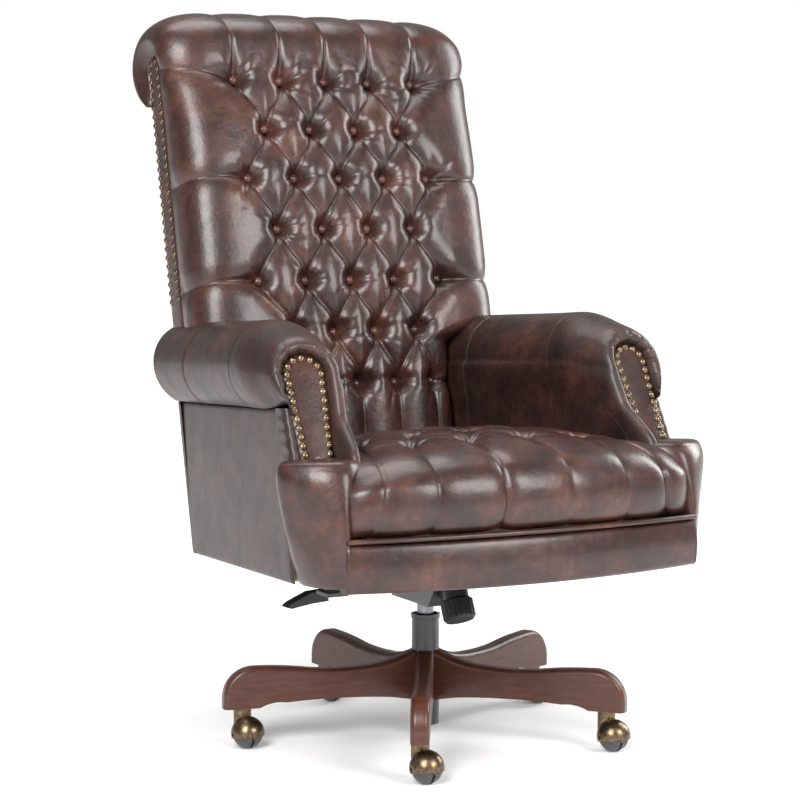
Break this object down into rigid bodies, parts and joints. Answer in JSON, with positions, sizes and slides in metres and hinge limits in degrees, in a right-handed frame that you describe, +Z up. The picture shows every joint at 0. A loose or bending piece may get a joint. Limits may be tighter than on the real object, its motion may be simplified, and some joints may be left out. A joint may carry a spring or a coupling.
{
  "type": "swivel office chair",
  "caption": "Buttoned leather swivel office chair with rolled arms and scrolled back, on a height-adjustable tilting column and a wooden star base with ball casters.",
  "frame": {"origin": "on the floor, under the swivel axis", "axes": "+Z up; the sitter faces -Y; +X is the sitter's left"},
  "size_m": [0.768, 0.9721, 1.2283],
  "materials": {
    "leather": "aged, mottled oxblood brown, satin gloss",
    "mahogany": "satin lacquered, red brown",
    "frame_wood": "raw sawn timber and plywood",
    "antique_brass": "antiqued, worn bright on the high points",
    "black_metal": "satin black enamel",
    "polished_steel": "polished",
    "steel": "zinc plated",
    "black_plastic": "fine matt grain",
    "grey_tread": "smooth charcoal",
    "black_cloth": "non-woven"
  },
  "bodies": {
    "base": {"hub_tube": "black_metal", "column_bush": "black_plastic", "thrust_bearing": "steel", "base_arm_fasteners": "steel", "caster_sockets": "antique_brass", "base_arm_1": "mahogany", "base_arm_2": "mahogany", "base_arm_3": "mahogany", "base_arm_4": "mahogany", "base_arm_5": "mahogany"},
    "caster_1": {"caster_hood_1": "antique_brass", "caster_pins_1": "steel"},
    "wheel_1": {"caster_wheels_1": "grey_tread"},
    "caster_2": {"caster_hood_2": "antique_brass", "caster_pins_2": "steel"},
    "wheel_2": {"caster_wheels_2": "grey_tread"},
    "caster_3": {"caster_hood_3": "antique_brass", "caster_pins_3": "steel"},
    "wheel_3": {"caster_wheels_3": "grey_tread"},
    "caster_4": {"caster_hood_4": "antique_brass", "caster_pins_4": "steel"},
    "wheel_4": {"caster_wheels_4": "grey_tread"},
    "caster_5": {"caster_hood_5": "antique_brass", "caster_pins_5": "steel"},
    "wheel_5": {"caster_wheels_5": "grey_tread"},
    "piston": {"piston_rod": "polished_steel"},
    "column": {"gas_cylinder": "polished_steel", "cylinder_gland": "black_plastic", "mechanism_housing": "black_metal", "tilt_pin": "steel", "tension_spring": "steel"},
    "valve": {"valve_button": "steel"},
    "lift_lever": {"lift_lever_rod": "black_metal", "lift_lever_paddle": "black_plastic"},
    "tilt_lock": {"tilt_lock_lever": "black_metal"},
    "knob": {"tension_knob": "black_plastic"},
    "seat": {"seat_plate": "black_metal", "seat_bolts": "steel", "seat_side_rails": "frame_wood", "seat_cross_rails": "frame_wood", "seat_deck": "frame_wood", "dust_cover": "black_cloth", "front_border": "leather", "seat_welt": "leather", "seat_cushion": "leather", "arm_frames": "frame_wood", "arm_inner_pads": "leather", "arm_outer_panels": "leather", "arm_roll_left": "leather", "arm_roll_right": "leather", "arm_facings": "leather", "arm_posts": "leather", "arm_nails": "antique_brass", "back_frame": "frame_wood", "back_outer_panel": "leather", "back_cushion": "leather", "back_buttons": "leather", "back_side_strips": "leather", "back_nails": "antique_brass"}
  },
  "joints": [
    {"name": "caster_swivel_1", "type": "hinge", "parent": "base", "child": "caster_1", "pos_m": [-0.15559, -0.27389, 0.06], "axis": [0, 0, 1], "continuous": true},
    {"name": "wheel_roll_1", "type": "hinge", "parent": "caster_1", "child": "wheel_1", "pos_m": [-0.15559, -0.29589, 0.025], "axis": [1, 0, 0], "continuous": true},
    {"name": "caster_swivel_2", "type": "hinge", "parent": "base", "child": "caster_2", "pos_m": [-0.30857, 0.06334, 0.06], "axis": [0, 0, 1], "continuous": true},
    {"name": "wheel_roll_2", "type": "hinge", "parent": "caster_2", "child": "wheel_2", "pos_m": [-0.30857, 0.04134, 0.025], "axis": [1, 0, 0], "continuous": true},
    {"name": "caster_swivel_3", "type": "hinge", "parent": "base", "child": "caster_3", "pos_m": [-0.03511, 0.31304, 0.06], "axis": [0, 0, 1], "continuous": true},
    {"name": "wheel_roll_3", "type": "hinge", "parent": "caster_3", "child": "wheel_3", "pos_m": [-0.03511, 0.29104, 0.025], "axis": [1, 0, 0], "continuous": true},
    {"name": "caster_swivel_4", "type": "hinge", "parent": "base", "child": "caster_4", "pos_m": [0.28686, 0.13013, 0.06], "axis": [0, 0, 1], "continuous": true},
    {"name": "wheel_roll_4", "type": "hinge", "parent": "caster_4", "child": "wheel_4", "pos_m": [0.28686, 0.10813, 0.025], "axis": [1, 0, 0], "continuous": true},
    {"name": "caster_swivel_5", "type": "hinge", "parent": "base", "child": "caster_5", "pos_m": [0.21241, -0.23261, 0.06], "axis": [0, 0, 1], "continuous": true},
    {"name": "wheel_roll_5", "type": "hinge", "parent": "caster_5", "child": "wheel_5", "pos_m": [0.21241, -0.25461, 0.025], "axis": [1, 0, 0], "continuous": true},
    {"name": "seat_swivel", "type": "hinge", "parent": "base", "child": "piston", "pos_m": [0, 0, 0.1], "axis": [0, 0, 1], "continuous": true},
    {"name": "seat_lift", "type": "slide", "parent": "piston", "child": "column", "axis": [0, 0, 1], "range_m": [-0.007, 0.08]},
    {"name": "valve_press", "type": "slide", "parent": "column", "child": "valve", "axis": [0, 0, 1], "range_m": [-0.0034, 0]},
    {"name": "lift_lever_pull", "type": "hinge", "parent": "column", "child": "lift_lever", "pos_m": [-0.033, 0, 0.262], "axis": [0, 1, 0], "range_deg": [0, 5], "stiffness_Nm_per_rad": 1, "springref_deg": -8.59},
    {"name": "tilt_lock_turn", "type": "hinge", "parent": "column", "child": "tilt_lock", "pos_m": [-0.033, -0.062, 0.262], "axis": [1, 0, 0], "range_deg": [-8, 10]},
    {"name": "tension_knob_turn", "type": "hinge", "parent": "column", "child": "knob", "pos_m": [0, -0.121, 0.212], "axis": [0, 0.4226, 0.9063], "continuous": true},
    {"name": "seat_tilt", "type": "hinge", "parent": "column", "child": "seat", "pos_m": [0, -0.032, 0.268], "axis": [-1, 0, 0], "range_deg": [0, 14], "stiffness_Nm_per_rad": 260, "springref_deg": -20.05}
  ],
  "couplings": [
    {"joint": "valve_press", "follows": "lift_lever_pull", "m_per_rad": -0.0385}
  ]
}
